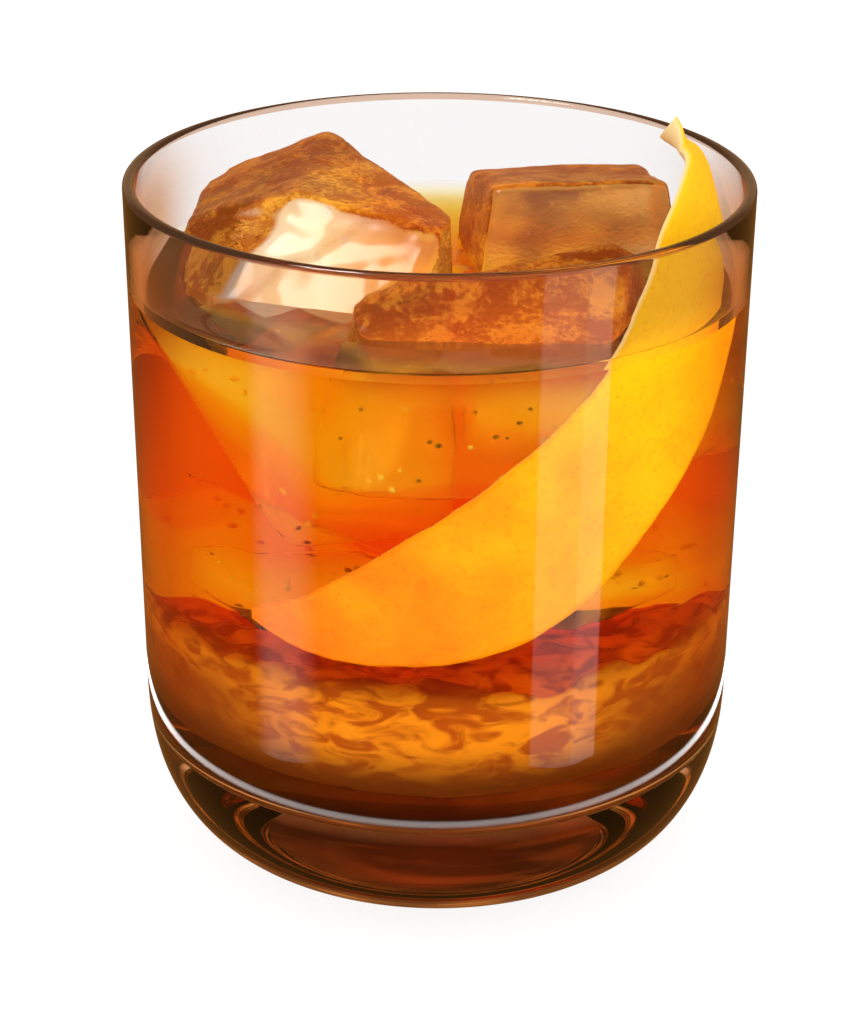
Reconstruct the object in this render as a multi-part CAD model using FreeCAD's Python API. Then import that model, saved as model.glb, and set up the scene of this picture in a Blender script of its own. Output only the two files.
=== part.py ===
"""A negroni over large ice in a heavy-based rocks tumbler, with a long swath of orange peel.

Millimetres, +Z up. The origin is the centre of the ring that the tumbler stands on, and the
front of the drink, where the peel shows best, faces -Y. Bearings go round the glass from -Y
towards +X, in degrees.
"""

import FreeCAD
import Part
import math
import os

Vector = FreeCAD.Vector
up = Vector(0, 0, 1)

# Tumbler: a nearly straight wall over a thick base with a deep round shoulder.
rim_radius = 44.0
glass_height = 100.0
wall_draft = 0.012            # radius lost for each millimetre below the rim
rim_wall = 1.7                # wall thickness at the rim
wall_gain = 0.013             # thickness gained for each millimetre below the rim
shoulder_height = 25.0        # where the wall turns into the rounded base
shoulder_fullness = 2.28      # exponent of the shoulder's curve, where 2 is an ellipse
shoulder_points = 9
foot_radius = 26.0            # outside of the ring that it stands on
punt_radius = 21.0            # inside of that ring
punt_depth = 2.2
floor_height = 15.5           # thickness of the base at its middle
floor_rise = 0.8              # the inner floor rises by this much towards its edge
floor_corner = 8.0            # radius between the inner floor and the wall

# Drink
head_space = 15.0             # from the rim down to the drink

# Ice: two tall blocks side by side, and a low one that leans in front of them. A block is
# what is left inside its facets. A facet is its bearing, its slope from level and its
# distance from the block's crown, the high corner that is placed along X, Y and above the
# drink.
ice_gap = 0.5                 # least distance from a block to another, the peel and the glass
melt_radius = 1.5             # edges are melted round
side_split = 2.2              # the tall blocks part here, along X
front_split = 13.4            # the low block parts from the tall ones this far from the axis
front_bearing = 20.0          # and the split between them faces this way
left_crown = (-19.5, 1.0, 12.1)
left_facets = [
    (71, 6.5, 0),
    (-91, 19.3, 0),
    (-49, 38, 0.4),
    (-19, 41, 0.5),
    (182, 84, 29),
    (-96, 84, 17),
    (-96, 124, 20.4),
    (-135, 87, 27.5),
    (-38, 86, 15.6),
    (120, 86, 17.6),
    (70, 88, 22),
    (20, 87, 20.4),
    (20, 172, 45),
]
right_crown = (31.8, 4.7, 13.0)
right_facets = [
    (187, 9, 0),
    (9, 80, 0),
    (-81, 82, 24.6),
    (99, 84, 1.2),
    (188, 86, 20),
    (-60, 174, 38),
]
front_crown = (22.0, -8.0, 8.0)
front_facets = [
    (0, 22, 0),
    (80, 40, 1.4),
    (200, 86, 1.4),
    (75, 84, 5.5),
    (32, 88, 20.6),
    (-4, 80, 23.5),
    (-72, 82, 35),
    (10, 170, 30),
]

# Peel: a long leaf-shaped strip with its coloured side towards the glass.
peel_thickness = 2.0
peel_edge = 0.5               # share of the thickness that is left at the cut edges
peel_bow = 90.0               # radius of the strip across its width
peel_lift = 0.7               # from the wall to the strip where it lies along the glass

# Stations along the strip, from the sunk tip to the free end: bearing, height above the
# drink, how far the coloured side stands off its place along the wall, half of the width,
# and how far the strip has turned on its own line.
peel_stations = [
    (-37.0, -37.0, 0, 0.8, 0),
    (-24.0, -36.5, 0, 4.4, 0),
    (-12.0, -34.3, 0, 7.2, 0),
    (2.8, -30.5, 0, 10.0, 0),
    (16.9, -25.4, 0.1, 11.4, 0),
    (32.1, -16.8, 0.3, 11.2, 0),
    (46.8, -7.2, 0.9, 11.5, 0),
    (55.6, 2.4, 1.5, 11.5, 0),
    (60.2, 10.4, 1.6, 10.6, 0),
    (64.4, 16.2, 1.9, 9.2, 0),
    (68.0, 19.8, 3.2, 7.2, 0),
    (70.4, 22.8, 5.6, 5.2, 4),
    (70.4, 25.4, 9.0, 2.4, 64),
]

drink_level = glass_height - head_space
reach = 4 * glass_height      # long enough to cut right through anything here


def bearing_vector(bearing, slope=90.0):
    """Unit vector along a bearing, tipped up from level by what the slope lacks of 90."""
    turn = math.radians(bearing)
    tip = math.radians(slope)
    return Vector(math.sin(tip) * math.sin(turn), -math.sin(tip) * math.cos(turn), math.cos(tip))


def outer_radius(height):
    """Outside of the straight wall at a height above the table."""
    return rim_radius - wall_draft * (glass_height - height)


def inner_radius(height):
    """Inside of the straight wall at a height above the table."""
    return outer_radius(height) - rim_wall - wall_gain * (glass_height - height)


def line(start, end):
    """Straight edge between two (radius, height) points of a profile."""
    return Part.LineSegment(Vector(start[0], 0, start[1]), Vector(end[0], 0, end[1])).toShape()


def arc(start, middle, end):
    """Round edge through three (radius, height) points of a profile."""
    points = [Vector(radius, 0, height) for radius, height in (start, middle, end)]
    return Part.Arc(*points).toShape()


def revolved(edges):
    """Solid made by turning a closed profile about Z."""
    face = Part.Face(Part.Wire(edges))
    return face.revolve(Vector(0, 0, 0), up, 360)


def dished(middle_height, edge_radius, edge_height):
    """Arc from the axis, where it is level, out to an edge."""
    rise = edge_height - middle_height
    radius = (edge_radius ** 2 + rise ** 2) / (2 * abs(rise))
    half_drop = radius - math.sqrt(radius ** 2 - (edge_radius / 2) ** 2)
    half_height = middle_height + math.copysign(half_drop, rise)
    return arc((0, middle_height), (edge_radius / 2, half_height), (edge_radius, edge_height))


def cavity_profile(top, clearance=0.0):
    """Edges from the axis along the inner floor and up the wall, moved in by a clearance."""
    middle = floor_height + clearance
    low = middle + floor_rise
    high = low + floor_corner
    wall_foot = inner_radius(high) - clearance
    centre = wall_foot - floor_corner
    bend = math.radians(45)
    elbow = (centre + floor_corner * math.sin(bend), high - floor_corner * math.cos(bend))
    floor = dished(middle, centre, low)
    corner = arc((centre, low), elbow, (wall_foot, high))
    wall = line((wall_foot, high), (inner_radius(top) - clearance, top))
    return [floor, corner, wall]


def cavity(top, clearance=0.0):
    """Solid that fills the glass up to a height, clear of it by a clearance."""
    edges = cavity_profile(top, clearance)
    edges.append(line((inner_radius(top) - clearance, top), (0, top)))
    edges.append(line((0, top), (0, floor_height + clearance)))
    return revolved(edges)


def shoulder_profile():
    """Spline from the wall down to the foot, along a full rounded quarter."""
    width = outer_radius(shoulder_height) - foot_radius
    points = []
    for step in range(shoulder_points):
        angle = math.radians(90) * step / (shoulder_points - 1)
        across = abs(math.cos(angle)) ** (2 / shoulder_fullness)
        down = math.sin(angle) ** (2 / shoulder_fullness)
        if step == shoulder_points - 1:
            across = 0.0
        points.append(Vector(foot_radius + width * across, 0, shoulder_height * (1 - down)))
    curve = Part.BSplineCurve()
    curve.interpolate(Points=points, InitialTangent=Vector(-wall_draft, 0, -1),
                      FinalTangent=Vector(-1, 0, 0))
    return curve.toShape()


def make_tumbler():
    lip = glass_height - rim_wall / 2
    crest = ((outer_radius(lip) + inner_radius(lip)) / 2, glass_height)
    edges = cavity_profile(lip)
    edges.append(arc((inner_radius(lip), lip), crest, (outer_radius(lip), lip)))
    edges.append(line((outer_radius(lip), lip), (outer_radius(shoulder_height), shoulder_height)))
    edges.append(shoulder_profile())
    edges.append(line((foot_radius, 0), (punt_radius, 0)))
    edges.append(dished(punt_depth, punt_radius, 0))
    edges.append(line((0, punt_depth), (0, floor_height)))
    return revolved(edges)


def beyond(point, normal):
    """Everything on the far side of a plane, as a large block."""
    block = Part.makeBox(2 * reach, 2 * reach, reach, Vector(-reach, -reach, 0))
    block.Placement = FreeCAD.Placement(point, FreeCAD.Rotation(up, normal))
    return block


def melted(block):
    """Block with rounded edges, rounded less where the full radius can't turn a corner."""
    for share in (1.0, 0.7, 0.4):
        try:
            shape = block.makeFillet(share * melt_radius, block.Edges)
        except Part.OCCError:
            continue
        if shape.isValid() and shape.Volume < block.Volume:
            return shape
    return block


def faceted(crown, facets):
    """Block of ice bounded by its facets."""
    peak = Vector(crown[0], crown[1], drink_level + crown[2])
    block = Part.makeBox(reach, reach, reach, peak - Vector(reach, reach, reach) / 2)
    for bearing, slope, distance in facets:
        normal = bearing_vector(bearing, slope)
        block = block.cut(beyond(peak + normal * distance, normal))
    return melted(block)


def make_ice(peel_room):
    """The three blocks, each kept to its own side of the splits and off the glass and peel."""
    front = bearing_vector(front_bearing) * front_split
    across = bearing_vector(front_bearing)
    half_gap = ice_gap / 2
    behind_split = beyond(front + across * half_gap, across * -1)
    before_split = beyond(front - across * half_gap, across)
    right_of_split = beyond(Vector(side_split - half_gap, 0, 0), Vector(1, 0, 0))
    left_of_split = beyond(Vector(side_split + half_gap, 0, 0), Vector(-1, 0, 0))
    room = cavity(glass_height, ice_gap).cut(peel_room)
    return {
        "ice_left": faceted(left_crown, left_facets).common(room).cut(right_of_split)
                    .cut(before_split),
        "ice_right": faceted(right_crown, right_facets).common(room).cut(left_of_split)
                     .cut(before_split),
        "ice_front": faceted(front_crown, front_facets).common(room).cut(behind_split),
    }


def station_centre(station):
    """Middle of the coloured side at a station."""
    bearing, height, standoff = station[:3]
    level = drink_level + height
    radius = inner_radius(min(level, glass_height)) - peel_lift - standoff
    return bearing_vector(bearing) * radius + up * level


def peel_section(index, growth):
    """Closed outline across the strip at a station, larger all round by a growth."""
    first = peel_stations[max(index - 1, 0)]
    last = peel_stations[min(index + 1, len(peel_stations) - 1)]
    along = (station_centre(last) - station_centre(first)).normalize()
    bearing, height, standoff, half_width, turn = peel_stations[index]
    out = bearing_vector(bearing)
    out = (out - along * out.dot(along)).normalize()
    out = FreeCAD.Rotation(along, turn).multVec(out)
    side = along.cross(out)
    middle = station_centre(peel_stations[index])

    thickness = peel_thickness * min(1.0, 0.5 + half_width / peel_thickness / 4)
    sag = peel_bow - math.sqrt(peel_bow ** 2 - half_width ** 2)
    edge = half_width + growth
    outer_edge = growth - sag
    inner_edge = -sag - thickness * peel_edge - growth

    def place(across, outward):
        return middle + side * across + out * outward

    outer = Part.Arc(place(-edge, outer_edge), place(0, growth), place(edge, outer_edge))
    inner = Part.Arc(place(edge, inner_edge), place(0, -thickness - growth),
                     place(-edge, inner_edge))
    right = Part.LineSegment(place(edge, outer_edge), place(edge, inner_edge))
    left = Part.LineSegment(place(-edge, inner_edge), place(-edge, outer_edge))
    return Part.Wire([curve.toShape() for curve in (outer, right, inner, left)])


def make_peel(growth=0.0):
    sections = [peel_section(index, growth) for index in range(len(peel_stations))]
    return Part.makeLoft(sections, True, False)


def main():
    peel = make_peel()
    pieces = make_ice(make_peel(ice_gap))
    drink = cavity(drink_level).cut(peel)
    for block in pieces.values():
        drink = drink.cut(block)
    pieces["tumbler"] = make_tumbler()
    pieces["orange_peel"] = peel
    pieces["drink"] = drink
    os.makedirs("parts", exist_ok=True)
    for name, shape in pieces.items():
        shape.exportStep("parts/" + name + ".step")


main()
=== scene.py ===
import bpy
import bmesh
import math
import random
from mathutils import Matrix, Vector, noise


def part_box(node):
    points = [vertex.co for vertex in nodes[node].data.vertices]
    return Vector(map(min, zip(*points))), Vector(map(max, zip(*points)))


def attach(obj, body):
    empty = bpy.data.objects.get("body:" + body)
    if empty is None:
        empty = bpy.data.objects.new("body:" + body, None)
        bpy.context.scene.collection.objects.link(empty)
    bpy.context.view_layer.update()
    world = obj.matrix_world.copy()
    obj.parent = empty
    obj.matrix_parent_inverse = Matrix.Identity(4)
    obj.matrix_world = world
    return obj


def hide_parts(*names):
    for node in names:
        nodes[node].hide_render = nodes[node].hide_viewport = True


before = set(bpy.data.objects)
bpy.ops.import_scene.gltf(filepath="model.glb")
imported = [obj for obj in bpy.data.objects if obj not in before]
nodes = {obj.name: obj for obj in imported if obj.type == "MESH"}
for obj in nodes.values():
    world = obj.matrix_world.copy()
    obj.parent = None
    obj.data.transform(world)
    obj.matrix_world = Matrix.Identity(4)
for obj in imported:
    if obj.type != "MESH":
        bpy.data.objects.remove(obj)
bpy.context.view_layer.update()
mm = 0.001
indexes = {"glass": 1.5, "drink": 1.35, "ice": 1.31}  # refractive indexes, against air
white = (1.0, 1.0, 1.0, 1)

# shared helpers


def mix(a, b, share):
    return a + (b - a) * share


def addMesh(name, points, faces, smooth=True):
    mesh = bpy.data.meshes.new(name)
    mesh.from_pydata(points, [], faces)
    mesh.validate()
    mesh.polygons.foreach_set("use_smooth", [smooth] * len(mesh.polygons))
    mesh.update()
    piece = bpy.data.objects.new(name, mesh)
    bpy.context.scene.collection.objects.link(piece)
    return piece


def bake(piece):
    # live modifiers become plain mesh
    bpy.context.view_layer.update()
    graph = bpy.context.evaluated_depsgraph_get()
    mesh = bpy.data.meshes.new_from_object(piece.evaluated_get(graph), depsgraph=graph)
    old = piece.data
    piece.modifiers.clear()
    piece.data = mesh
    mesh.name = piece.name
    if old.users == 0:
        bpy.data.meshes.remove(old)
    return piece


def copyOfNode(node, name):
    # a CAD node's mesh is loose triangles: merge them in a copy
    mesh = nodes[node].data.copy()
    mesh.materials.clear()
    piece = bpy.data.objects.new(name, mesh)
    bpy.context.scene.collection.objects.link(piece)
    tool = bmesh.new()
    tool.from_mesh(mesh)
    bmesh.ops.remove_doubles(tool, verts=tool.verts, dist=0.002 * mm)
    tool.to_mesh(mesh)
    tool.free()
    return piece


def lathe(name, profile, segments):
    # turns (radius, height) points about Z; points on the axis become single poles
    points, rings = [], []
    for radius, height in profile:
        if radius < 1e-6:
            rings.append([len(points)])
            points.append((0.0, 0.0, height))
            continue
        ring = []
        for step in range(segments):
            angle = 2 * math.pi * step / segments
            ring.append(len(points))
            points.append((radius * math.cos(angle), radius * math.sin(angle), height))
        rings.append(ring)
    faces, bands = [], []
    for band in range(len(rings) - 1):
        low, high = rings[band], rings[band + 1]
        for step in range(segments):
            after = (step + 1) % segments
            if len(low) == 1:
                faces.append((low[0], high[step], high[after]))
            elif len(high) == 1:
                faces.append((low[step], high[0], low[after]))
            else:
                faces.append((low[step], high[step], high[after], low[after]))
            bands.append(band)
    piece = addMesh(name, points, faces)
    tool = bmesh.new()
    tool.from_mesh(piece.data)
    if tool.calc_volume(signed=True) < 0:
        bmesh.ops.reverse_faces(tool, faces=tool.faces)
    tool.to_mesh(piece.data)
    tool.free()
    return piece, bands


def arcPoints(centre, radius, start, end, count):
    # points on a circle, from one angle to another, in degrees
    out = []
    for step in range(count + 1):
        angle = math.radians(mix(start, end, step / count))
        out.append((centre[0] + radius * math.cos(angle), centre[1] + radius * math.sin(angle)))
    return out


def node(tree, kind, **settings):
    made = tree.nodes.new("ShaderNode" + kind)
    for key, value in settings.items():
        setattr(made, key, value)
    return made


def feed(tree, target, values):
    # each input, by name or number, takes a fixed value or what another node puts out
    for key, value in values.items():
        if isinstance(value, bpy.types.NodeSocket):
            tree.links.new(value, target.inputs[key])
        else:
            target.inputs[key].default_value = value


def emptyTree(owner, kind="Material"):
    # the nodes of a material or of the world, with only an output left
    owner.use_nodes = True
    owner.node_tree.nodes.clear()
    return owner.node_tree, node(owner.node_tree, "Output" + kind)


def newMaterial(name):
    material = bpy.data.materials.new(name)
    tree, output = emptyTree(material)
    shader = node(tree, "BsdfPrincipled")
    feed(tree, output, {"Surface": shader.outputs["BSDF"]})
    return material, tree, shader


def compute(tree, operation, *values):
    made = node(tree, "Math", operation=operation)
    feed(tree, made, dict(enumerate(values)))
    return made.outputs[0]


def ramp(tree, value, start, end, low=0.0, high=1.0):
    # goes softly from low to high while the value goes from start to end
    made = node(tree, "MapRange", interpolation_type="SMOOTHSTEP")
    feed(tree, made, {"Value": value, "From Min": start, "From Max": end, "To Min": low, "To Max": high})
    return made.outputs[0]


def choose(tree, mask, off, on):
    made = node(tree, "MixRGB")
    feed(tree, made, {0: mask, 1: off, 2: on})
    return made.outputs[0]


def coordinates(tree, kind="Object"):
    return node(tree, "TexCoord").outputs[kind]


def axes(tree, vector):
    # one output for each axis
    made = node(tree, "SeparateXYZ")
    feed(tree, made, {0: vector})
    return made.outputs


def litMatt(tree, path):
    # 1 for light on its way to a matt piece
    return compute(tree, "GREATER_THAN", path.outputs["Diffuse Depth"], 0.5)


# tumbler

tumbler = {
    "wallDraft": 0.012,
    "rimWall": 1.7 * mm,
    "wallGain": 0.013,
    "shoulderHeight": 25.0 * mm,
    "shoulderFullness": 2.28,
    "footRadius": 26.0 * mm,
    "puntRadius": 21.0 * mm,
    "puntDepth": 2.2 * mm,
    "floorHeight": 15.5 * mm,
    "floorRise": 0.8 * mm,
    "floorCorner": 8.0 * mm,
    "segments": 192,
    # painted shade of the thick base: the brown of the drink and the dark seen through it, in swirls
    "baseShadeDeep": (0.07, 0.018, 0.006, 1),
    "baseShadeWarm": (0.66, 0.20, 0.045, 1),
    "baseShadeTop": 20.0 * mm,
    "baseShadeFade": 3.0 * mm,
    # painted shade of the rim and the underside, brown for the drink and the dark seen through them
    "rimShadeBrown": (0.62, 0.33, 0.20, 1),
    "underShadeBrown": (0.07, 0.02, 0.006, 1),
    "edgeShade": (0.70, 0.30, 0.11, 1),  # painted shade where the wall turns away
    "edgeShadePale": (0.92, 0.84, 0.78, 1),   # lighter painted shade near the rim
    "paleLow": 90.0 * mm,
    "paleHigh": 104.0 * mm,
    "edgeNear": 0.36,
    "edgeFar": 0.65,
    "swirlScale": (26, 26, 150),
}
tumblerSlots = ("clearGlass", "wettedGlass", "rimGlass", "underGlass", "clearBase", "wettedBase")
tumblerLow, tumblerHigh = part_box("tumbler")
rimRadius = (tumblerHigh.x - tumblerLow.x) / 2
glassHeight = tumblerHigh.z
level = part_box("drink")[1].z


def outerRadius(height):
    return rimRadius - tumbler["wallDraft"] * (glassHeight - height)


def innerRadius(height):
    return outerRadius(height) - tumbler["rimWall"] - tumbler["wallGain"] * (glassHeight - height)


def innerProfile(top, overlap=0.0):
    # from the axis along the inner floor and up the wall; an overlap reaches into the glass
    corner = tumbler["floorCorner"] + overlap
    bottom = tumbler["floorHeight"] - overlap
    edge = bottom + tumbler["floorRise"]
    cornerTop = edge + corner
    centre = innerRadius(cornerTop) + overlap - corner
    points = []
    for step in range(9):
        radius = centre * step / 8
        points.append((radius, bottom + tumbler["floorRise"] * (step / 8) ** 2))
    points += arcPoints((centre, cornerTop), corner, -90, 0, 14)[1:]
    for step in range(1, 13):
        height = mix(cornerTop, top, step / 12)
        points.append((innerRadius(height) + overlap, height))
    return points


def outerProfile(lip):
    points = []
    for step in range(1, 13):
        height = mix(lip, tumbler["shoulderHeight"], step / 12)
        points.append((outerRadius(height), height))
    width = outerRadius(tumbler["shoulderHeight"]) - tumbler["footRadius"]
    power = 2 / tumbler["shoulderFullness"]
    for step in range(1, 33):
        angle = math.radians(90 * step / 32)
        across = max(math.cos(angle), 0.0) ** power
        down = math.sin(angle) ** power
        points.append((tumbler["footRadius"] + width * across, tumbler["shoulderHeight"] * (1 - down)))
    points[-1] = (tumbler["footRadius"], 0.0)
    points.append((tumbler["puntRadius"], 0.0))
    for step in range(1, 9):
        share = 1 - step / 8
        points.append((tumbler["puntRadius"] * share, tumbler["puntDepth"] * (1 - share ** 2)))
    return points


def makeTumbler():
    lip = glassHeight - tumbler["rimWall"] / 2
    inside = innerProfile(level)
    wetBands = len(inside) - 1
    for step in range(1, 5):
        height = mix(level, lip, step / 4)
        inside.append((innerRadius(height), height))
    middle = (innerRadius(lip) + outerRadius(lip)) / 2
    half = (outerRadius(lip) - innerRadius(lip)) / 2
    rim = []
    for step in range(1, 12):
        angle = math.radians(180 - 180 * step / 12)
        rim.append((middle + half * math.cos(angle), lip + (glassHeight - lip) * math.sin(angle)))
    rim.append((outerRadius(lip), lip))
    outside = outerProfile(lip)
    piece, bands = lathe("rocksTumbler", inside + rim + outside, tumbler["segments"])
    rimBand = len(inside) - 1
    footBand = next(index for index, point in enumerate(outside) if point[1] == 0.0)
    underBand = len(inside) + len(rim) + footBand - 1
    finishes = []
    for face, band in zip(piece.data.polygons, bands):
        if rimBand <= band < rimBand + len(rim):
            finish = "rimGlass"
        elif band >= underBand:
            finish = "underGlass"
        else:
            finish = "wetted" if band < wetBands else "clear"
            # faces low on the glass take the materials that carry the base's painted shade
            finish += "Base" if face.center.z < tumbler["baseShadeTop"] else "Glass"
        finishes.append(tumblerSlots.index(finish))
    piece.data.polygons.foreach_set("material_index", finishes)
    dry, wetted = indexes["glass"], indexes["glass"] / indexes["drink"]
    for material in (clearGlass("clearGlass", dry, wallTint), clearGlass("wettedGlass", wetted, wallTint),
                     tintedGlass("rimGlass", tumbler["rimShadeBrown"], 0.0, 0.9),
                     tintedGlass("underGlass", tumbler["underShadeBrown"], 0.3, 0.93),
                     clearGlass("clearBase", dry, baseTint), clearGlass("wettedBase", wetted, baseTint)):
        piece.data.materials.append(material)
    return piece


def tintedGlass(name, colour, roughness, clear):
    # painted shade: the fire-polished rim and the ground underside take a brown colour for the drink and the
    # dark seen through them
    material, tree, shader = newMaterial(name)
    feed(tree, shader, {"Base Color": colour, "Roughness": roughness, "Transmission Weight": clear,
                        "IOR": indexes["glass"]})
    return material


def clearGlass(name, index, tint):
    # painted shade: a brown tint for what is seen through the glass, but none for what lights a matt piece
    material, tree, shader = newMaterial(name)
    colour = choose(tree, litMatt(tree, node(tree, "LightPath")), tint(tree), white)
    feed(tree, shader, {"Base Color": colour, "Roughness": 0.0, "Transmission Weight": 1.0, "IOR": index})
    return material


def wallTint(tree):
    # painted shade: the wall browns where it turns away from the view, less so near the rim
    edge = node(tree, "LayerWeight")
    feed(tree, edge, {"Blend": 0.5})
    turned = ramp(tree, edge.outputs["Facing"], tumbler["edgeNear"], tumbler["edgeFar"])
    high = ramp(tree, axes(tree, coordinates(tree))["Z"], tumbler["paleLow"], tumbler["paleHigh"])
    return choose(tree, turned, white, choose(tree, high, tumbler["edgeShade"], tumbler["edgeShadePale"]))


def baseTint(tree):
    # painted shade: the thick base takes a dark brown colour for the drink and the dark seen through it, in
    # slow swirls that run round it
    flow = node(tree, "Mapping")
    feed(tree, flow, {"Vector": coordinates(tree), "Scale": tumbler["swirlScale"]})
    swirls = node(tree, "TexNoise")
    feed(tree, swirls, {"Vector": flow.outputs[0], "Scale": 1.0, "Detail": 2.0, "Distortion": 1.6})
    swirl = ramp(tree, swirls.outputs["Fac"], 0.45, 0.68)
    swirlShade = choose(tree, swirl, tumbler["baseShadeDeep"], tumbler["baseShadeWarm"])
    height = axes(tree, coordinates(tree))["Z"]
    bare = ramp(tree, height, tumbler["baseShadeTop"] - tumbler["baseShadeFade"], tumbler["baseShadeTop"])
    return choose(tree, bare, swirlShade, white)


glassPiece = makeTumbler()
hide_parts("tumbler")
print("tumbler made", len(glassPiece.data.polygons), "faces")

# ice

ice = {
    "voxel": 0.9 * mm,
    "smoothing": 5,
    "swell": 0.55 * mm,         # broad melt hollows
    "swellScale": 95,
    "sag": 0.35,
    "ripple": 0.16 * mm,        # small ones
    "rippleScale": 330,
    "gapToDrink": 0.04 * mm,
    "grainScale": 1300,
    "patchScale": 90,
    "grainDepth": 0.3 * mm,
    # painted light and shade of the ice above the drink, one tone for each way that a facet looks
    "topBrown": (0.46, 0.09, 0.008, 1),
    "topGold": (1.0, 0.37, 0.03, 1),
    "frontPale": (0.92, 0.68, 0.54, 1),
    "paleEnd": -15 * mm,        # sideways, turns to amber from here
    "amberStart": -4 * mm,
    "frontAmber": (1.0, 0.50, 0.12, 1),
    "steepBrown": (0.50, 0.22, 0.10, 1),
    "dryClear": 0.65,
    "squareness": 0.86,         # of the sunk blocks' corners
    "sunkMelt": 1.6,
    "sunkClear": (1.0, 0.98, 0.95, 1),
    "sunkCloud": (1.0, 0.88, 0.70, 1),
    "clarity": 0.97,
    "cloudy": 0.82,
    "bedLight": (1.0, 0.31, 0.012, 1),
    "bedBrown": (0.52, 0.09, 0.006, 1),
    "bedDeepShade": (0.14, 0.03, 0.004, 1),
    "bedSideShade": (0.30, 0.052, 0.005, 1),
    "bedClarity": 0.30,
    "bedFade": 36.0 * mm,
    "deepFrom": 24.5 * mm,      # painted shade darkens the ice down through these heights
    "deepTo": 33.0 * mm,
    "sideFrom": 12.0 * mm,      # and sideways from the middle
    "sideTo": 31.0 * mm,
    "crackScale": 170,
    "skinDepth": 7.0 * mm,      # painted shade: just under the drink's level a block gets a brown, less clear band
    "skinTop": 1.0 * mm,
    "skinShade": (0.42, 0.085, 0.008, 1),
    "skinClarity": 0.62,
    "bedBottom": 21.5 * mm,     # broken ice low at the front
    "bedTop": 40.0 * mm,
    "bedWaves": 3.0 * mm,
    "waveScales": (75, 210),
    "bedGap": 0.7 * mm,
    "bedBack": -4.0 * mm,
}
sunkBlocks = [
    # middle (x, y, z), size, turn about X, Y and Z in degrees; all in mm
    ((-15, -16, 46.5), (26, 20, 6.5), (3, 4, 24)),
    ((15, -15, 47), (26, 20, 7), (-4, 3, 60)),
    ((14, 17.5, 34), (27, 26, 26), (30, -18, 10)),
    ((-15, 18, 34), (26, 25, 26), (-14, 32, 66)),
]


def meltBlock(piece, seed, amount=1.0):
    remesh = piece.modifiers.new("remesh", "REMESH")
    remesh.mode = "VOXEL"
    remesh.voxel_size = ice["voxel"]
    soften = piece.modifiers.new("soften", "SMOOTH")
    soften.factor = 0.5
    soften.iterations = ice["smoothing"]
    bake(piece)
    mesh = piece.data
    shift = Vector((seed * 7.3, seed * 3.1, seed * 5.7))
    normals = [vertex.normal.copy() for vertex in mesh.vertices]
    for vertex, normal in zip(mesh.vertices, normals):
        broad = noise.noise(vertex.co * ice["swellScale"] + shift)
        small = noise.noise(vertex.co * ice["rippleScale"] + shift)
        vertex.co += normal * amount * (ice["swell"] * (broad - ice["sag"]) + ice["ripple"] * small)
    mesh.polygons.foreach_set("use_smooth", [True] * len(mesh.polygons))
    mesh.update()
    return piece


def makeSunkBlock(index, spot, size, turns):
    tool = bmesh.new()
    bmesh.ops.create_cube(tool, size=1.0)
    rng = random.Random(index)
    for vertex in tool.verts:
        vertex.co = Vector([value * rng.uniform(ice["squareness"], 1.0) for value in vertex.co])
    place = Matrix.Translation(Vector(spot) * mm)
    for axis, turn in zip("XYZ", turns):
        place = place @ Matrix.Rotation(math.radians(turn), 4, axis)
    place = place @ Matrix.Diagonal(Vector((*[side * mm for side in size], 1)))
    bmesh.ops.transform(tool, matrix=place, verts=tool.verts)
    mesh = bpy.data.meshes.new("sunkIce" + str(index))
    tool.to_mesh(mesh)
    tool.free()
    piece = bpy.data.objects.new(mesh.name, mesh)
    bpy.context.scene.collection.objects.link(piece)
    return meltBlock(piece, 10 + index, ice["sunkMelt"])


def makeBed():
    # broken ice that fills the front of the glass from just over its floor
    wall = innerRadius(ice["bedTop"]) - ice["bedGap"]
    low, high, corner = ice["bedBottom"], ice["bedTop"], tumbler["floorCorner"]
    profile = [(wall * step / 8, low) for step in range(7)]
    profile += arcPoints((wall - corner, low + corner), corner, -90, 0, 8)
    profile += [(wall, high), (wall * 0.66, high), (wall * 0.33, high), (0.0, high)]
    piece = lathe("iceBed", profile, 96)[0]
    tool = bmesh.new()
    tool.from_mesh(piece.data)
    parts = tool.verts[:] + tool.edges[:] + tool.faces[:]
    cut = bmesh.ops.bisect_plane(tool, geom=parts, plane_co=(0, ice["bedBack"], 0), plane_no=(0, 1, 0),
                                 clear_outer=True)
    rims = [part for part in cut["geom_cut"] if isinstance(part, bmesh.types.BMEdge)]
    bmesh.ops.holes_fill(tool, edges=rims)
    bmesh.ops.recalc_face_normals(tool, faces=tool.faces)
    tool.to_mesh(piece.data)
    tool.free()
    meltBlock(piece, 20)
    broad, small = ice["waveScales"]
    for vertex in piece.data.vertices:
        share = max(0.0, (vertex.co.z - low - corner) / (high - low - corner))
        wave = noise.noise(vertex.co * broad) + 0.5 * noise.noise(vertex.co * small)
        vertex.co.z += ice["bedWaves"] * share * wave
    return piece


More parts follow.
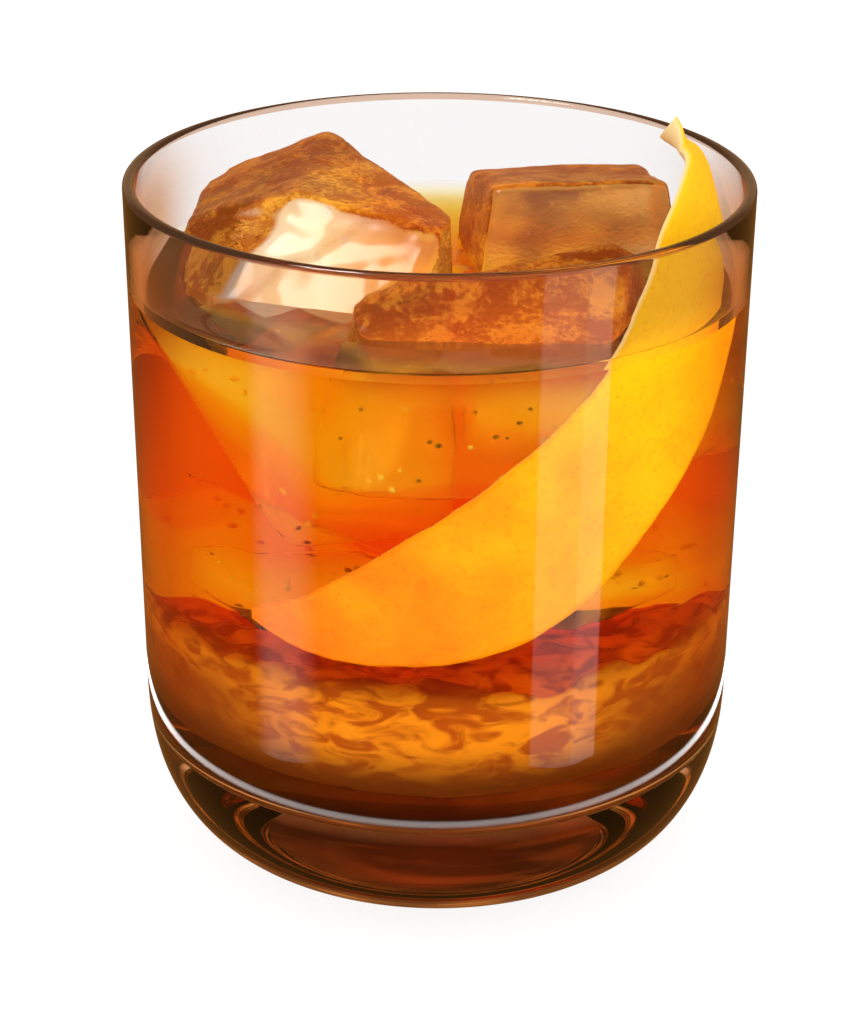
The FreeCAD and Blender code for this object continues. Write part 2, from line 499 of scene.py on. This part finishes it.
def makeGrain():
    # a noise that can be squashed in height, for the ice's grain, streaks and cracks
    group = bpy.data.node_groups.new("iceGrain", "ShaderNodeTree")
    group.interface.new_socket("Vector", in_out="INPUT", socket_type="NodeSocketVector")
    for name in ("Scale", "Detail", "Distortion", "Squash"):
        group.interface.new_socket(name, in_out="INPUT", socket_type="NodeSocketFloat")
    group.interface.new_socket("Fac", in_out="OUTPUT", socket_type="NodeSocketFloat")
    given = group.nodes.new("NodeGroupInput").outputs
    squash = node(group, "CombineXYZ")
    feed(group, squash, {"X": 1.0, "Y": 1.0, "Z": given["Squash"]})
    squashed = node(group, "VectorMath", operation="MULTIPLY")
    feed(group, squashed, {0: given["Vector"], 1: squash.outputs[0]})
    made = node(group, "TexNoise")
    feed(group, made, {"Vector": squashed.outputs[0], "Scale": given["Scale"], "Detail": given["Detail"],
                       "Distortion": given["Distortion"]})
    feed(group, group.nodes.new("NodeGroupOutput"), {"Fac": made.outputs["Fac"]})
    return group


def addGrain(tree, scale, detail, distortion=0.3, squash=1.0):
    made = node(tree, "Group", node_tree=grainGroup)
    feed(tree, made, {"Vector": coordinates(tree), "Scale": scale, "Detail": detail,
                      "Distortion": distortion, "Squash": squash})
    return made.outputs["Fac"]


def dryIceMaterial():
    # melted and grainy above the drink, with painted light and shade: one tone for each way that a facet
    # looks
    material, tree, shader = newMaterial("stainedIce")
    ahead = axes(tree, node(tree, "NewGeometry").outputs["Normal"])["Y"]
    ahead = compute(tree, "MULTIPLY", ahead, -1.0)
    steep = ramp(tree, ahead, 0.7, 0.9)
    pale = compute(tree, "SUBTRACT", ramp(tree, ahead, 0.46, 0.58), steep)
    grain = addGrain(tree, ice["grainScale"], 2, 0.2, 1.8)
    patches = addGrain(tree, ice["patchScale"], 2)
    streaks = addGrain(tree, ice["patchScale"] * 2.4, 3, 0.6, 1.6)
    mottled = compute(tree, "MULTIPLY_ADD", grain, 0.35, compute(tree, "MULTIPLY", streaks, 0.65))
    rough = choose(tree, ramp(tree, mottled, 0.42, 0.62), ice["topBrown"], ice["topGold"])
    sideways = ramp(tree, axes(tree, coordinates(tree))["X"], ice["paleEnd"], ice["amberStart"])
    front = choose(tree, sideways, ice["frontPale"], ice["frontAmber"])
    steepShade = choose(tree, ramp(tree, patches, 0.4, 0.62), ice["steepBrown"], ice["frontAmber"])
    # painted light and shade: the tone follows the way each facet looks, over the ice's own grain
    facetShade = choose(tree, steep, choose(tree, pale, rough, front), steepShade)
    grainHeight = compute(tree, "MULTIPLY", grain, compute(tree, "SUBTRACT", 1.0, pale))
    bump = node(tree, "Bump")
    feed(tree, bump, {"Strength": 0.5, "Distance": ice["grainDepth"], "Height": grainHeight})
    feed(tree, shader, {"Base Color": facetShade, "Normal": bump.outputs["Normal"], "Roughness": 0.12,
                        "IOR": indexes["ice"], "Transmission Weight": ice["dryClear"]})
    return material


def sunkIceMaterial():
    # under the drink the cavity round a block does the bending, so the block itself has none
    material, tree, shader = newMaterial("sunkIce")
    clouds = node(tree, "TexNoise")
    feed(tree, clouds, {"Vector": coordinates(tree), "Scale": ice["patchScale"], "Detail": 0.0,
                        "Distortion": 0.3})
    cloud = clouds.outputs["Fac"]
    tone = choose(tree, ramp(tree, cloud, 0.35, 0.65), ice["sunkClear"], ice["sunkCloud"])
    height = axes(tree, coordinates(tree))["Z"]
    # painted shade: a brown, less clear band just under the drink's level
    skin = ramp(tree, height, level - ice["skinDepth"], level - ice["skinTop"])
    clouded = ramp(tree, cloud, 0.48, 0.70, ice["clarity"], ice["cloudy"])
    clarity = choose(tree, skin, clouded, (*[ice["skinClarity"]] * 3, 1))
    feed(tree, shader, {"Base Color": choose(tree, skin, tone, ice["skinShade"]), "Roughness": 0.3,
                        "IOR": 1.0, "Transmission Weight": clarity})
    return material


def bedMaterial():
    # broken ice, streaked with the drink, with painted shade that darkens it downwards and to the sides
    material, tree, shader = newMaterial("brokenIce")
    cracks = addGrain(tree, ice["crackScale"], 3, 0.9, 2.4)
    tone = choose(tree, ramp(tree, cracks, 0.38, 0.60), ice["bedBrown"], ice["bedLight"])
    spot = axes(tree, coordinates(tree))
    sideways = compute(tree, "ABSOLUTE", spot["X"])
    sideShade = ramp(tree, sideways, ice["sideFrom"], ice["sideTo"], 0.0, 0.9)
    sideShade = compute(tree, "MULTIPLY", sideShade, ramp(tree, spot["Z"], ice["deepTo"], ice["bedTop"], 1.0, 0.2))
    # painted shade: darker downwards and to the sides
    deep = ramp(tree, spot["Z"], ice["deepFrom"], ice["deepTo"], 1.0, 0.0)
    tone = choose(tree, deep, choose(tree, sideShade, tone, ice["bedSideShade"]), ice["bedDeepShade"])
    clarity = ramp(tree, spot["Z"], ice["bedFade"], ice["bedTop"] + ice["bedWaves"], ice["bedClarity"], 0.9)
    feed(tree, shader, {"Base Color": tone, "Roughness": 0.3, "IOR": 1.0, "Transmission Weight": clarity})
    return material


icePieces = []
for index, name in enumerate(("ice_left", "ice_right", "ice_front")):
    block = copyOfNode(name, "iceBlock" + name[4:].capitalize())
    meltBlock(block, index)
    icePieces.append((block, name))
sunkPieces = [makeSunkBlock(index, *block) for index, block in enumerate(sunkBlocks)] + [makeBed()]
blocks = [block for block, name in icePieces] + sunkPieces
print("ice made", [len(block.data.polygons) for block in blocks])

# drink

drink = {
    "overlap": 0.15 * mm,       # reaches this far into the glass
    "meniscus": 1.5 * mm,       # climbs the wall by this much
    "meniscusWidth": 1.6 * mm,
    "meniscusReach": 6.0 * mm,
    "segments": 192,
    "tint": (0.991, 0.815, 0.02, 1),
    "density": 200.0,
    "iceBend": 1.005,           # at the faces of sunk ice, which melt into the drink
}


def makeDrink():
    profile = innerProfile(level, drink["overlap"])
    edge = innerRadius(level) + drink["overlap"]
    for step in range(0, 13):
        away = drink["meniscusReach"] * (step / 12) ** 2
        climb = drink["meniscus"] * math.exp(-away / drink["meniscusWidth"])
        profile.append((edge - away, level + climb))
    for step in range(1, 7):
        profile.append(((edge - drink["meniscusReach"]) * (1 - step / 6), level))
    piece = lathe("negroniDrink", profile, drink["segments"])[0]
    for block in blocks:
        cut = piece.modifiers.new("cut", "BOOLEAN")
        cut.operation = "DIFFERENCE"
        cut.solver = "MANIFOLD"
        cut.object = block
        bake(piece)
    mesh = piece.data
    bend = mesh.attributes.new("bend", "FLOAT", "FACE")
    bend.data.foreach_set("value", [bendOf(face.center, face.normal) for face in mesh.polygons])
    mesh.polygons.foreach_set("use_smooth", [True] * len(mesh.polygons))
    return piece


def bendOf(spot, normal):
    # the drink's index against what is beyond a face: glass (which bends for both), air or ice
    cornerTop = tumbler["floorHeight"] + tumbler["floorRise"] + tumbler["floorCorner"]
    if math.hypot(spot.x, spot.y) > innerRadius(max(spot.z, cornerTop + 0.2 * mm)) + 0.05 * mm:
        return 1.0
    if spot.z > level - 0.02 * mm and normal.z > 0.1:
        return indexes["drink"]
    if spot.z < cornerTop + 0.7 * mm and not insideCavity(spot):
        return 1.0
    return drink["iceBend"]


def insideCavity(spot):
    # true where a point is clear of the inner floor and its round corner
    radius = math.hypot(spot.x, spot.y)
    corner = tumbler["floorCorner"]
    cornerTop = tumbler["floorHeight"] + tumbler["floorRise"] + corner
    centre = innerRadius(cornerTop) - corner
    if radius < centre:
        rise = tumbler["floorRise"] * (radius / centre) ** 2
        return spot.z > tumbler["floorHeight"] + rise + 0.02 * mm
    return math.hypot(radius - centre, cornerTop - spot.z) < corner - 0.02 * mm


def drinkMaterial():
    material, tree, shader = newMaterial("negroni")
    bend = node(tree, "Attribute", attribute_name="bend")
    feed(tree, shader, {"Base Color": white, "Roughness": 0.0, "Transmission Weight": 1.0,
                        "IOR": bend.outputs["Fac"]})
    volume = node(tree, "VolumeAbsorption")
    feed(tree, volume, {"Color": drink["tint"], "Density": drink["density"]})
    feed(tree, shader.outputs["BSDF"].links[0].to_node, {"Volume": volume.outputs[0]})
    return material


drinkPiece = makeDrink()
drinkPiece.data.materials.clear()
drinkPiece.data.materials.append(drinkMaterial())
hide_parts("drink")
print("drink made", len(drinkPiece.data.polygons), "faces")

grainGroup = makeGrain()
iceMaterials = (sunkIceMaterial(), dryIceMaterial(), bedMaterial())


def finishBlock(block):
    # draws the block back from its cavity, then parts its materials at the drink's level
    normals = [vertex.normal.copy() for vertex in block.data.vertices]
    for vertex, normal in zip(block.data.vertices, normals):
        vertex.co -= normal * ice["gapToDrink"]
    tool = bmesh.new()
    tool.from_mesh(block.data)
    parts = tool.verts[:] + tool.edges[:] + tool.faces[:]
    bmesh.ops.bisect_plane(tool, geom=parts, plane_co=(0, 0, level), plane_no=(0, 0, 1))
    tool.to_mesh(block.data)
    tool.free()
    for material in iceMaterials:
        block.data.materials.append(material)
    if block.name == "iceBed":
        slots = [2] * len(block.data.polygons)
    else:
        slots = [int(face.center.z > level) for face in block.data.polygons]
    block.data.polygons.foreach_set("material_index", slots)


for block, name in icePieces:
    finishBlock(block)
    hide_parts(name)
for block in sunkPieces:
    finishBlock(block)


# air bubbles in the ice

bubbles = {
    "perSquareMetre": 9000.0,
    "smallest": 0.12 * mm,      # radius
    "largest": 0.5 * mm,
    "shallow": 0.7 * mm,        # depth below the block's faces
    "deep": 5.0 * mm,
    "bend": 1.1,                # lens-like, so that they stay bright
    "clear": 0.5,
    "seed": 4,
    "rings": 8,
}


def bubbleMaterial():
    material, tree, shader = newMaterial("airBubble")
    feed(tree, shader, {"Base Color": white, "Roughness": 0.1, "Transmission Weight": bubbles["clear"],
                        "IOR": bubbles["bend"]})
    return material


def bubbleGroup(material):
    # strews small closed balls just under the faces of one block
    group = bpy.data.node_groups.new("airBubbles", "GeometryNodeTree")
    face = group.interface
    face.new_socket("Geometry", in_out="INPUT", socket_type="NodeSocketGeometry")
    for name, kind in (("Block", "Object"), ("Density", "Float"), ("Smallest", "Float"),
                       ("Largest", "Float"), ("Shallow", "Float"), ("Deep", "Float"), ("Seed", "Int")):
        face.new_socket(name, in_out="INPUT", socket_type="NodeSocket" + kind)
    face.new_socket("Geometry", in_out="OUTPUT", socket_type="NodeSocketGeometry")
    made = {}
    for key, kind in (("given", "NodeGroupInput"), ("out", "NodeGroupOutput"),
                      ("block", "GeometryNodeObjectInfo"), ("strew", "GeometryNodeDistributePointsOnFaces"),
                      ("size", "FunctionNodeRandomValue"), ("depth", "FunctionNodeRandomValue"),
                      ("inward", "ShaderNodeVectorMath"), ("sink", "GeometryNodeSetPosition"),
                      ("ball", "GeometryNodeMeshUVSphere"), ("place", "GeometryNodeInstanceOnPoints"),
                      ("real", "GeometryNodeRealizeInstances"), ("shade", "GeometryNodeSetShadeSmooth"),
                      ("paint", "GeometryNodeSetMaterial"), ("minus", "ShaderNodeMath"),
                      ("later", "ShaderNodeMath")):
        made[key] = group.nodes.new(kind)
    link = group.links.new
    given = made["given"].outputs
    link(given["Block"], made["block"].inputs["Object"])
    link(made["block"].outputs["Geometry"], made["strew"].inputs["Mesh"])
    link(given["Density"], made["strew"].inputs["Density"])
    link(given["Seed"], made["strew"].inputs["Seed"])
    made["later"].operation = "ADD"
    made["later"].inputs[1].default_value = 50  # a second seed, for the depths
    link(given["Seed"], made["later"].inputs[0])
    for key, least, most, seed in (("size", "Smallest", "Largest", given["Seed"]),
                                   ("depth", "Shallow", "Deep", made["later"].outputs[0])):
        made[key].data_type = "FLOAT"
        link(given[least], made[key].inputs[2])
        link(given[most], made[key].inputs[3])
        link(seed, made[key].inputs["Seed"])
    made["minus"].operation = "MULTIPLY"
    made["minus"].inputs[1].default_value = -1.0
    link(made["depth"].outputs[1], made["minus"].inputs[0])
    made["inward"].operation = "SCALE"
    link(made["strew"].outputs["Normal"], made["inward"].inputs[0])
    link(made["minus"].outputs[0], made["inward"].inputs["Scale"])
    link(made["strew"].outputs["Points"], made["sink"].inputs["Geometry"])
    link(made["inward"].outputs[0], made["sink"].inputs["Offset"])
    made["ball"].inputs["Segments"].default_value = 2 * bubbles["rings"]
    made["ball"].inputs["Rings"].default_value = bubbles["rings"]
    made["ball"].inputs["Radius"].default_value = 1.0
    link(made["sink"].outputs[0], made["place"].inputs["Points"])
    link(made["ball"].outputs["Mesh"], made["place"].inputs["Instance"])
    link(made["size"].outputs[1], made["place"].inputs["Scale"])
    link(made["place"].outputs[0], made["real"].inputs[0])
    link(made["real"].outputs[0], made["shade"].inputs["Geometry"])
    link(made["shade"].outputs[0], made["paint"].inputs["Geometry"])
    made["paint"].inputs["Material"].default_value = material
    link(made["paint"].outputs[0], made["out"].inputs[0])
    return group


def makeBubbles(group, block, index):
    piece = addMesh("airBubbles" + str(index), [], [])
    modifier = piece.modifiers.new("strew", "NODES")
    modifier.node_group = group
    values = {"Block": block, "Density": bubbles["perSquareMetre"], "Smallest": bubbles["smallest"],
              "Largest": bubbles["largest"], "Shallow": bubbles["shallow"], "Deep": bubbles["deep"],
              "Seed": bubbles["seed"] + index}
    for socket in group.interface.items_tree:
        if socket.in_out == "INPUT" and socket.name in values:
            modifier[socket.identifier] = values[socket.name]
    return bake(piece)


strewing = bubbleGroup(bubbleMaterial())
bubblePieces = [makeBubbles(strewing, block, index) for index, block in enumerate(blocks)]
print("bubbles made", [len(piece.data.polygons) for piece in bubblePieces])

# orange peel

peel = {
    "thickness": 2.0 * mm,
    "edge": 0.5,
    "bow": 90.0 * mm,
    "lift": 0.7 * mm,
    "along": 14,                # mesh steps between stations
    "across": 26,
    "straying": ((140, 0.35 * mm), (500, 0.15 * mm)),  # of the cut edges: how often and how far
    "lumps": 0.16 * mm,         # of the pith
    "poreDepth": 0.15 * mm,
    "deepOrange": (0.74, 0.15, 0.001, 1),
    "brightOrange": (1.0, 0.52, 0.001, 1),
    "poreOrange": (0.9, 0.45, 0.1, 1),
    "pith": (0.85, 0.62, 0.28, 1),
}
peelStations = [
    # bearing, height above the drink, stand-off, half width (mm), turn
    (-37.0, -37.0, 0, 0.8, 0),
    (-24.0, -36.5, 0, 4.4, 0),
    (-12.0, -34.3, 0, 7.2, 0),
    (2.8, -30.5, 0, 10.0, 0),
    (16.9, -25.4, 0.1, 11.4, 0),
    (32.1, -16.8, 0.3, 11.2, 0),
    (46.8, -7.2, 0.9, 11.5, 0),
    (55.6, 2.4, 1.5, 11.5, 0),
    (60.2, 10.4, 1.6, 10.6, 0),
    (64.4, 16.2, 1.9, 9.2, 0),
    (68.0, 19.8, 3.2, 7.2, 0),
    (70.4, 22.8, 5.6, 5.2, 4),
    (70.4, 25.4, 9.0, 2.4, 64),
]


def smoothRow(rows, position):
    # Catmull-Rom through the stations
    last = len(rows) - 1
    index = min(int(position), last - 1)
    t = position - index
    a, b, c, d = (rows[max(min(index + k, last), 0)] for k in (-1, 0, 1, 2))
    out = []
    for p0, p1, p2, p3 in zip(a, b, c, d):
        out.append(0.5 * (2 * p1 + (p2 - p0) * t + (2 * p0 - 5 * p1 + 4 * p2 - p3) * t * t
                          + (3 * p1 - p0 - 3 * p2 + p3) * t * t * t))
    return out


def bearingVector(bearing):
    turn = math.radians(bearing)
    return Vector((math.sin(turn), -math.cos(turn), 0))


def peelCentre(row):
    height = level + row[1] * mm
    radius = innerRadius(min(height, glassHeight)) - peel["lift"] - row[2] * mm
    return bearingVector(row[0]) * radius + Vector((0, 0, height))


def strayingEdge(run, shift):
    # how far a cut edge strays at this distance along the peel
    (broadScale, broad), (fineScale, fine) = peel["straying"]
    wide = noise.noise(Vector((run * broadScale, shift + 3.1, 0)))
    return broad * wide + fine * noise.noise(Vector((run * fineScale, shift + 9.1, 0)))


def makePeel():
    steps = (len(peelStations) - 1) * peel["along"]
    points, faces, sides, place = [], [], [], []
    lengthRun = 0.0
    previous = None
    around = 2 * (peel["across"] + 1)
    for step in range(steps + 1):
        position = step / peel["along"]
        row = smoothRow(peelStations, position)
        before = peelCentre(smoothRow(peelStations, max(position - 0.3, 0)))
        after = peelCentre(smoothRow(peelStations, min(position + 0.3, len(peelStations) - 1)))
        along = (after - before).normalized()
        out = bearingVector(row[0])
        out = (out - along * out.dot(along)).normalized()
        out = Matrix.Rotation(math.radians(row[4]), 3, along) @ out
        side = along.cross(out)
        middle = peelCentre(row)
        if previous is not None:
            lengthRun += (middle - previous).length
        previous = middle
        halfWidth = max(row[3], 0.5) * mm
        wave, wave2 = strayingEdge(lengthRun, 0), strayingEdge(lengthRun, 10)
        thick = peel["thickness"] * min(1.0, 0.5 + halfWidth / peel["thickness"] / 4)
        for layer in (0, 1):
            for column in range(peel["across"] + 1):
                share = 2 * column / peel["across"] - 1
                if layer:
                    share = -share
                edgeWave = (wave if share > 0 else wave2) * abs(share) ** 3
                across = share * halfWidth + math.copysign(1, share) * edgeWave
                bowDrop = peel["bow"] - math.sqrt(peel["bow"] ** 2 - across ** 2)
                rounding = max(0.0, (abs(share) - 0.86) / 0.14)
                outward = -bowDrop - 0.18 * mm * rounding ** 2
                if layer:
                    local = mix(1.0, peel["edge"], abs(share) ** 2.5)
                    lumps = peel["lumps"] * noise.noise(Vector((lengthRun * 260, across * 260, 5.5)))
                    outward = -bowDrop - thick * local + 0.12 * mm * rounding ** 2 + lumps * (1 - abs(share))
                spot = middle + side * across + out * outward
                points.append(spot)
                place.append((lengthRun, across))
                sides.append(1.0 - layer)
    for step in range(steps):
        first, second = step * around, (step + 1) * around
        for column in range(around):
            after = (column + 1) % around
            faces.append((first + column, first + after, second + after, second + column))
    faces.append(tuple(range(around - 1, -1, -1)))
    faces.append(tuple(range(steps * around, (steps + 1) * around)))
    piece = addMesh("orangePeel", points, faces)
    mesh = piece.data
    zest = mesh.attributes.new("zest", "FLOAT", "POINT")
    zest.data.foreach_set("value", sides)
    layer = mesh.uv_layers.new(name="strip")
    for loop in mesh.loops:
        run, across = place[loop.vertex_index]
        layer.data[loop.index].uv = (run / 0.1, across / 0.1)
    tool = bmesh.new()
    tool.from_mesh(mesh)
    if tool.calc_volume(signed=True) < 0:
        bmesh.ops.reverse_faces(tool, faces=tool.faces)
    tool.to_mesh(mesh)
    tool.free()
    return piece


def peelMaterial():
    material, tree, shader = newMaterial("orangeZest")
    strip = node(tree, "UVMap", uv_map="strip").outputs[0]
    pores = node(tree, "TexVoronoi", feature="F1")
    feed(tree, pores, {"Vector": strip, "Scale": 95.0})
    pit = node(tree, "MapRange")
    feed(tree, pit, {"Value": pores.outputs["Distance"], "From Min": 0.0, "From Max": 0.42})
    patches = node(tree, "TexNoise")
    feed(tree, patches, {"Vector": strip, "Scale": 9.0, "Detail": 4.0})
    # the tone brightens in random patches and further along the strip, away from its sunk end
    along = compute(tree, "MULTIPLY", axes(tree, strip)["X"], 0.75)
    brightening = ramp(tree, compute(tree, "MULTIPLY_ADD", patches.outputs["Fac"], 0.5, along), 0.2, 0.95)
    skin = choose(tree, brightening, peel["deepOrange"], peel["brightOrange"])
    dark = node(tree, "MapRange")
    feed(tree, dark, {"Value": pit.outputs[0], "To Min": 0.35, "To Max": 0.0})
    pitted = node(tree, "MixRGB", blend_type="MULTIPLY")
    feed(tree, pitted, {0: dark.outputs[0], 1: skin, 2: peel["poreOrange"]})
    outer = node(tree, "Attribute", attribute_name="zest").outputs["Fac"]
    bump = node(tree, "Bump")
    feed(tree, bump, {"Strength": 0.5, "Distance": peel["poreDepth"], "Height": pit.outputs[0]})
    feed(tree, shader, {"Base Color": choose(tree, outer, peel["pith"], pitted.outputs[0]),
                        "Normal": bump.outputs["Normal"], "Roughness": 0.38, "Specular IOR Level": 0.1})
    return material


peelPiece = makePeel()
peelPiece.data.materials.append(peelMaterial())
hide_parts("orange_peel")
print("peel made", len(peelPiece.data.polygons), "faces")

for piece in [glassPiece, drinkPiece, peelPiece] + blocks + bubblePieces:
    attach(piece, "root")


# stage, light and camera

light = {
    "floorReach": 3.0,
    "floorDrop": 0.02 * mm,     # below what stands on it
    "floorGrey": (0.86, 0.86, 0.86, 1),
    "floorGlow": 0.8,           # of the floor that is seen, the rest shows its shadows
    "floorWhite": 1.08,
    "dusk": (0.26, 0.10, 0.02, 1),  # the unlit parts of the room, in reflections
    "dryTone": (0.80, 0.60, 0.48, 1),  # through bare glass
    "sideTone": (0.36, 0.13, 0.04, 1),  # and at the sides, through the drink
    "glint": (0.75, 0.32, 0.13, 1),  # of what bare glass and dry ice have mirrored
    "mirrored": (0.62, 0.34, 0.16, 1),
    "room": 1.5,                # what lights the matt pieces
    "floorLit": 1.1,
    "sunkGain": 2.3,            # makes up for what the drink's surface turns back
    "frontNear": -0.06,         # the floor and the room in front are dark
    "frontFar": 0.0,
    "arcNear": 0.067,           # a bright ring on the floor that only reflections see
    "arcFar": 0.0705,
    "arcSoft": 2.0 * mm,
    "arcGlow": (5.0, 4.8, 4.6, 1),
    "front": 0.02,              # the room in front, as the glass mirrors it
    "mirrorLow": 0.7,
    "mirrorHigh": 0.9,
    "amber": (0.80, 0.44, 0.15, 1),
    "underNear": 0.040,         # how far the amber reaches
    "underFar": 0.090,
    "darkSide": 0.0,
    "darkSideNear": 0.045,
    "darkSideFar": 0.15,
    "sideStart": 0.55,          # the same in the room, by sine of the bearing
    "sideEnd": 0.95,
    "aheadStart": -0.3,
    "aheadEnd": 0.1,
    "topDark": 0.12,
    "topLow": 0.35,             # sine of the height where the room starts to darken
    "topHigh": 0.7,
    "strip": 1.2,
    "stripHeight": 130,         # mm
    "stripColour": (1.0, 0.93, 0.84, 1),
    "strips": [
        # name, strength, where each end stands, in mm, and how much of each side fades out
        ("softStripRight", 1.0, (42.4, -81.6), (57.5, -67.5), 0.06, 0.001),
        ("softStripFarRight", 1.5, (57.5, -67.5), (67.7, -58.4), 0.001, 0.1),
        ("softStripLeft", 1.0, (-73, -48.5), (-50, -77), 0.3, 0.45),
    ],
    # a soft light over the glass that its ice mirrors: middle, size (mm) and strength
    "softbox": ((-165, -80, 460), 120, 20.0),
}
view = {
    "aim": (0.0, 0.0, 48.0 * mm),
    "distance": 400.0 * mm,
    "rise": 23.815,             # degrees over level
    "roll": 0.454,
    "lens": 95.7,
    "sensor": 36.0,
    "shift": (-0.0035, 0.0028),
}


def seenColour(tree, refracted, mirrored, bright, direct, lit, amber=None):
    # one colour for each way of looking: through glass, in a reflection, straight, or as light
    path = node(tree, "LightPath")
    wet = compute(tree, "GREATER_THAN", path.outputs["Transmission Depth"], 4.5)
    bare = compute(tree, "SUBTRACT", 1.0, wet)
    tone = choose(tree, wet, light["dryTone"], light["sideTone"])
    through = choose(tree, refracted, tone, white)
    if amber is not None:  # the floor near the glass glows with what the drink lets through
        clear = compute(tree, "MAXIMUM", amber, bare)
        through = choose(tree, clear, light["amber"], through)
    turned = compute(tree, "GREATER_THAN", path.outputs["Glossy Depth"], 0.5)
    through = choose(tree, compute(tree, "MULTIPLY", turned, bare), through, light["glint"])
    reflected = choose(tree, mirrored, light["dusk"], bright)
    bounced = choose(tree, path.outputs["Is Reflection Ray"], through, reflected)
    value = choose(tree, path.outputs["Is Camera Ray"], bounced, (direct, direct, direct, 1))
    fromMatt = litMatt(tree, path)
    litLevel = compute(tree, "MULTIPLY_ADD", wet, lit * (light["sunkGain"] - 1), lit)
    return choose(tree, fromMatt, value, litLevel), path, fromMatt


def makeFloor():
    far, depth = light["floorReach"], -light["floorDrop"]
    corners = [(-far, -far, depth), (far, -far, depth), (far, far, depth), (-far, far, depth)]
    piece = addMesh("floor", corners, [(0, 1, 2, 3)], False)
    material = bpy.data.materials.new("paleFloor")
    tree, output = emptyTree(material)
    spot = axes(tree, coordinates(tree))
    away = node(tree, "VectorMath", operation="LENGTH")
    feed(tree, away, {0: coordinates(tree)})
    away = away.outputs["Value"]
    sideways = compute(tree, "ABSOLUTE", spot["X"])
    side = ramp(tree, sideways, light["darkSideNear"], light["darkSideFar"], 1.0, light["darkSide"])
    ahead = ramp(tree, spot["Y"], light["frontNear"], light["frontFar"])
    under = ramp(tree, away, light["underNear"], light["underFar"])
    ring = compute(tree, "SUBTRACT", ramp(tree, away, light["arcNear"], light["arcNear"] + light["arcSoft"]),
                   ramp(tree, away, light["arcFar"], light["arcFar"] + light["arcSoft"]))
    colour, path, fromMatt = seenColour(tree, compute(tree, "MULTIPLY", side, ahead), ring, light["arcGlow"],
                                        light["floorWhite"], light["floorLit"], under)
    matt, glow, blend = node(tree, "BsdfDiffuse"), node(tree, "Emission"), node(tree, "MixShader")
    feed(tree, matt, {"Color": light["floorGrey"]})
    feed(tree, glow, {"Color": colour})
    direct = compute(tree, "MULTIPLY_ADD", path.outputs["Is Camera Ray"], light["floorGlow"] - 1, 1.0)
    feed(tree, blend, {0: compute(tree, "MAXIMUM", fromMatt, direct), 1: matt.outputs[0], 2: glow.outputs[0]})
    feed(tree, output, {"Surface": blend.outputs[0]})
    piece.data.materials.append(material)


def makeWorld():
    world = bpy.data.worlds.new("room")
    bpy.context.scene.world = world
    tree, output = emptyTree(world, "World")
    spot = axes(tree, coordinates(tree, "Generated"))
    top = ramp(tree, spot["Z"], light["topLow"], light["topHigh"], 1.0, light["topDark"])
    sideways = compute(tree, "ABSOLUTE", spot["X"])
    side = ramp(tree, sideways, light["sideStart"], light["sideEnd"], 1.0, light["darkSide"])
    ahead = ramp(tree, spot["Y"], light["aheadStart"], light["aheadEnd"])
    front = ramp(tree, spot["Y"], light["mirrorLow"], light["mirrorHigh"], light["front"], 1.0)
    refracted = compute(tree, "MULTIPLY", compute(tree, "MULTIPLY", top, side), ahead)
    glow = node(tree, "Background")
    feed(tree, glow, {"Color": seenColour(tree, refracted, front, light["mirrored"], 1.0, light["room"])[0]})
    feed(tree, output, {"Surface": glow.outputs[0]})


def addGlow(name, points, strength, fades=None):
    # a light that only reflections see
    material = bpy.data.materials.new(name)
    tree, output = emptyTree(material)
    glow = node(tree, "Emission")
    feed(tree, glow, {"Color": light["stripColour"], "Strength": strength})
    if fades:
        across = axes(tree, node(tree, "UVMap", uv_map="across").outputs[0])["X"]
        start = ramp(tree, across, 0.0, fades[0], 0.0, strength)
        end = ramp(tree, across, 1.0 - fades[1], 1.0, 1.0, 0.0)
        feed(tree, glow, {"Strength": compute(tree, "MULTIPLY", start, end)})
    feed(tree, output, {"Surface": glow.outputs[0]})
    piece = addMesh(name, [Vector(point) * mm for point in points], [(0, 1, 2, 3)], False)
    layer = piece.data.uv_layers.new(name="across")
    for loop, corner in zip(layer.data, ((0, 0), (1, 0), (1, 1), (0, 1))):
        loop.uv = corner
    piece.data.materials.append(material)
    piece.visible_camera = False
    piece.visible_diffuse = False
    piece.visible_transmission = False
    piece.visible_shadow = False


def makeGlows():
    top = light["stripHeight"]
    for name, strength, start, end, *fades in light["strips"]:
        corners = [(*start, 0), (*end, 0), (*end, top), (*start, top)]
        addGlow(name, corners, strength * light["strip"], fades)
    (x, y, z), size, strength = light["softbox"]
    half = size / 2
    signs = ((-1, -1), (1, -1), (1, 1), (-1, 1))
    corners = [(x + across * half, y + deep * half, z) for across, deep in signs]
    addGlow("softbox", corners, strength)


def makeCamera():
    data = bpy.data.cameras.new("camera")
    camera = bpy.data.objects.new("camera", data)
    bpy.context.scene.collection.objects.link(camera)
    aim = Vector(view["aim"])
    rise = math.radians(view["rise"])
    camera.location = aim + view["distance"] * Vector((0, -math.cos(rise), math.sin(rise)))
    look = (aim - camera.location).to_track_quat("-Z", "Y").to_matrix()
    camera.rotation_euler = (look @ Matrix.Rotation(math.radians(view["roll"]), 3, "Z")).to_euler()
    data.sensor_width = view["sensor"]
    data.lens = view["lens"]
    data.shift_x, data.shift_y = view["shift"]
    data.clip_start = 0.01
    bpy.context.scene.camera = camera


makeFloor()
makeWorld()
makeGlows()
makeCamera()
print("stage made")
scene = bpy.context.scene
scene.view_settings.view_transform = "Standard"
scene.cycles.max_bounces = 14
scene.cycles.diffuse_bounces = 2
scene.cycles.transmission_bounces = 14
scene.cycles.glossy_bounces = 8
scene.cycles.transparent_max_bounces = 16
